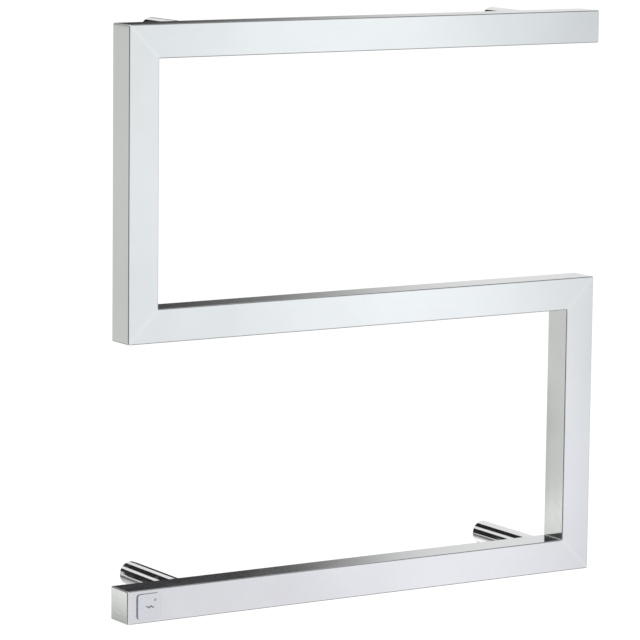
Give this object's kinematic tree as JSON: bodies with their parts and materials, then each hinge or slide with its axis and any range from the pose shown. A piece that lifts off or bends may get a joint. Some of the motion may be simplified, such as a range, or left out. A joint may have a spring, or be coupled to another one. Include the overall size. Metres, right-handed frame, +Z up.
{
  "type": "towel warmer rack",
  "caption": "Wall-hung electric towel warmer of square polished tube bent in an S, on round chromed posts, with a square push switch at the lower free end.",
  "frame": {"origin": "middle of the rail's outline (width and height) on the wall plane", "axes": "+X to the right seen from the front, +Y into the wall, +Z up"},
  "size_m": [0.5, 0.1326, 0.53],
  "materials": {
    "polished_stainless": "mirror polished stainless steel",
    "chrome": "bright chrome plate",
    "plated_steel": "zinc plated, satin",
    "tinned_copper": "tinned, dull",
    "black_rubber": "matt",
    "dark_plastic": "moulded, satin",
    "board_green": "lacquered board",
    "pale_plastic": "pale lilac grey, satin",
    "lens_smoke": "lightly smoked clear",
    "red_silicone": "silicone jacket",
    "grey_silicone": "moulded silicone",
    "white_plastic": "moulded, satin",
    "brown_insulation": "wire insulation",
    "blue_insulation": "wire insulation"
  },
  "bodies": {
    "rail": {"top_bar": "polished_stainless", "left_upright": "polished_stainless", "middle_bar": "polished_stainless", "right_upright": "polished_stainless", "bottom_bar": "polished_stainless", "top_end_cap": "polished_stainless", "bottom_end_cap": "polished_stainless", "post_upper_left": "chrome", "wall_spigot_upper_left": "plated_steel", "grub_screw_upper_left": "plated_steel", "front_plug_upper_left": "plated_steel", "stud_upper_left": "plated_steel", "rivet_nut_upper_left": "plated_steel", "post_upper_right": "chrome", "wall_spigot_upper_right": "plated_steel", "grub_screw_upper_right": "plated_steel", "front_plug_upper_right": "plated_steel", "stud_upper_right": "plated_steel", "rivet_nut_upper_right": "plated_steel", "post_lower_left": "chrome", "wall_spigot_lower_left": "plated_steel", "grub_screw_lower_left": "plated_steel", "front_plug_lower_left": "plated_steel", "stud_lower_left": "plated_steel", "rivet_nut_lower_left": "plated_steel", "post_lower_right": "chrome", "wall_spigot_lower_right": "plated_steel", "grub_screw_lower_right": "plated_steel", "front_plug_lower_right": "plated_steel", "stud_lower_right": "plated_steel", "rivet_nut_lower_right": "plated_steel", "lock_nut": "plated_steel", "earth_ring": "tinned_copper", "cable_bush": "black_rubber", "switch_frame": "pale_plastic", "switch_housing": "dark_plastic", "circuit_board": "board_green", "tactile_switch": "dark_plastic", "indicator_led": "white_plastic", "button_spring": "plated_steel", "heating_cable": "red_silicone", "spacer_top_bar": "grey_silicone", "spacer_left_upright": "grey_silicone", "spacer_middle_bar": "grey_silicone", "spacer_right_upright": "grey_silicone", "spacer_bottom_bar": "grey_silicone", "terminal_block": "white_plastic", "live_lead": "brown_insulation", "neutral_lead": "blue_insulation", "live_crimp": "tinned_copper", "neutral_crimp": "tinned_copper", "switch_lead": "white_plastic", "thermal_cutout": "plated_steel"},
    "button": {"switch_button": "pale_plastic", "indicator_lens": "lens_smoke"}
  },
  "joints": [
    {"name": "button_press", "type": "slide", "parent": "rail", "child": "button", "axis": [0, 1, 0], "range_m": [0, 0.0005], "stiffness_N_per_m": 400, "springref_m": -0.002, "deforming": ["button_spring"]}
  ]
}
